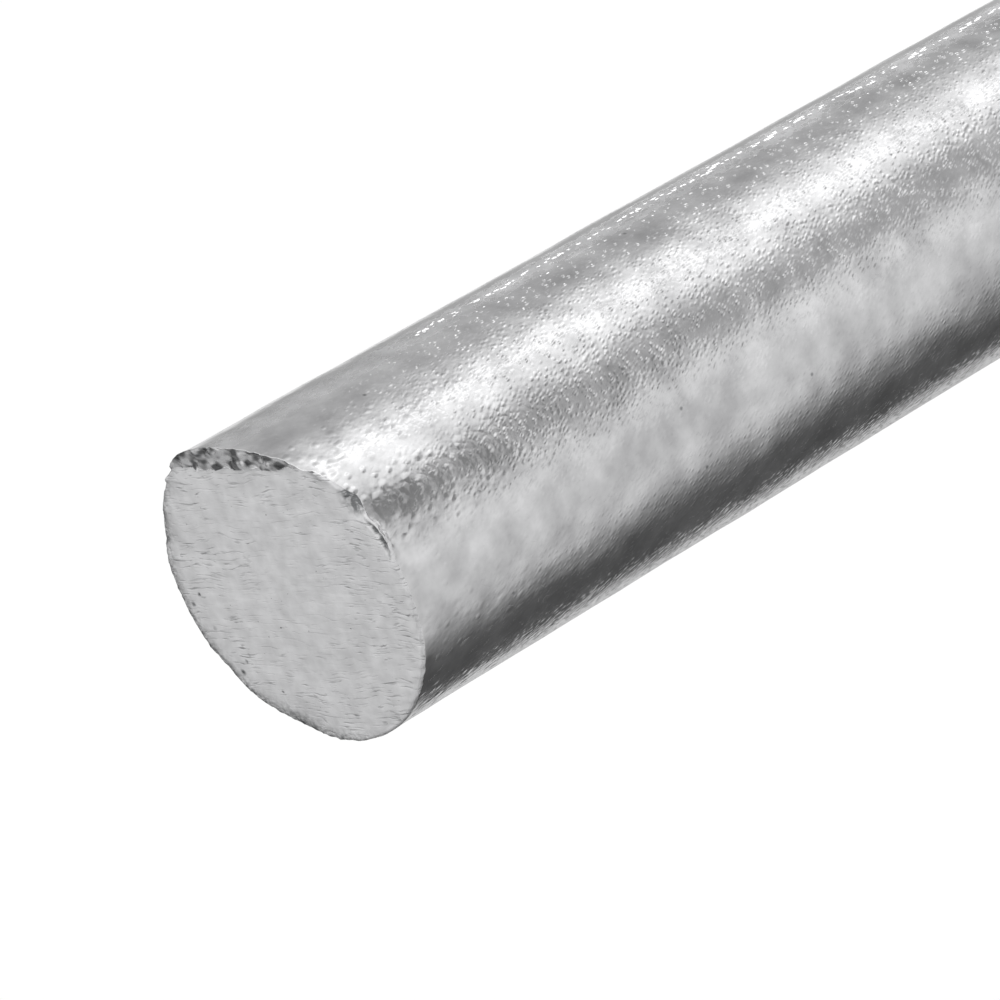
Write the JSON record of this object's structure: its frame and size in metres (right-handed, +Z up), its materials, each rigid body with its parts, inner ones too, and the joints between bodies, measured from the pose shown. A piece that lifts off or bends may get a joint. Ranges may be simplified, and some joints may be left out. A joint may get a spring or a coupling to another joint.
{
  "type": "zinc anode rod",
  "caption": "Round bare zinc anode rod with a plain square end, and a hand-sawn end that leans and has a torn lip where its last strip snapped.",
  "frame": {"origin": "centre of the square end that the rod stands on, on its axis", "axes": "+Z up along the rod's axis, from the square end to the sawn end; +X towards the torn lip"},
  "size_m": [0.0126, 0.0126, 0.1524],
  "materials": {
    "zinc": "satin"
  },
  "bodies": {
    "root": {"zinc_rod": "zinc"}
  },
  "joints": []
}
